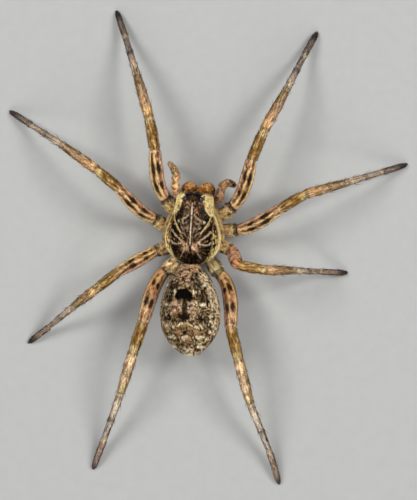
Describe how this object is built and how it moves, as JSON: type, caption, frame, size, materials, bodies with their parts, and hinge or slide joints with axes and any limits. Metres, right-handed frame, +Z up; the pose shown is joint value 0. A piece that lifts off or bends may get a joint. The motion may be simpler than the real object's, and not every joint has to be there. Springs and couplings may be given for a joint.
{
  "type": "wolf spider model",
  "caption": "Life-size still model of a wolf spider standing with its legs spread, with furred body, jaws, palps and dark eyes, for a museum display.",
  "frame": {"origin": "on the floor, under the middle of the box round the spread legs", "axes": "+Y is the way the head points and the longest extent, +X is the animal's right, +Z is up"},
  "size_m": [0.0417, 0.0497, 0.0076],
  "materials": {
    "carapace_hide": "dark brown cuticle under short cream and brown hair",
    "abdomen_hide": "soft hide under dense short hair, mottled black, tan and white",
    "belly_hide": "brown cuticle under short dark hair",
    "leg_hide": "tan cuticle under short hair with dark blotches",
    "coxa_hide": "yellow-olive cuticle under short pale hair",
    "foot_hide": "grey-brown, densely brushed with short hair",
    "palp_hide": "tan to brown under short hair",
    "jaw_shell": "orange-brown horny shell with sparse golden hair",
    "fang_shell": "polished black-brown horn",
    "eye_lens": "clear polished dark lens"
  },
  "bodies": {
    "root": {"carapace": "carapace_hide", "sternum": "belly_hide", "pedicel": "belly_hide", "abdomen": "abdomen_hide", "chelicera_left": "jaw_shell", "chelicera_right": "jaw_shell", "fang_left": "fang_shell", "fang_right": "fang_shell", "palp_left_base": "palp_hide", "palp_left_end": "palp_hide", "palp_right_base": "palp_hide", "palp_right_end": "palp_hide", "eye_front_middle_left": "eye_lens", "eye_front_middle_right": "eye_lens", "eye_front_side_left": "eye_lens", "eye_front_side_right": "eye_lens", "eye_large_left": "eye_lens", "eye_large_right": "eye_lens", "eye_rear_left": "eye_lens", "eye_rear_right": "eye_lens", "leg_1_left_coxa": "coxa_hide", "leg_1_left_femur": "leg_hide", "leg_1_left_tibia": "leg_hide", "leg_1_left_foot": "foot_hide", "leg_1_right_coxa": "coxa_hide", "leg_1_right_femur": "leg_hide", "leg_1_right_tibia": "leg_hide", "leg_1_right_foot": "foot_hide", "leg_2_left_coxa": "coxa_hide", "leg_2_left_femur": "leg_hide", "leg_2_left_tibia": "leg_hide", "leg_2_left_foot": "foot_hide", "leg_2_right_coxa": "coxa_hide", "leg_2_right_femur": "leg_hide", "leg_2_right_tibia": "leg_hide", "leg_2_right_foot": "foot_hide", "leg_3_left_coxa": "coxa_hide", "leg_3_left_femur": "leg_hide", "leg_3_left_tibia": "leg_hide", "leg_3_left_foot": "foot_hide", "leg_3_right_coxa": "coxa_hide", "leg_3_right_femur": "leg_hide", "leg_3_right_tibia": "leg_hide", "leg_3_right_foot": "foot_hide", "leg_4_left_coxa": "coxa_hide", "leg_4_left_femur": "leg_hide", "leg_4_left_tibia": "leg_hide", "leg_4_left_foot": "foot_hide", "leg_4_right_coxa": "coxa_hide", "leg_4_right_femur": "leg_hide", "leg_4_right_tibia": "leg_hide", "leg_4_right_foot": "foot_hide"}
  },
  "joints": []
}
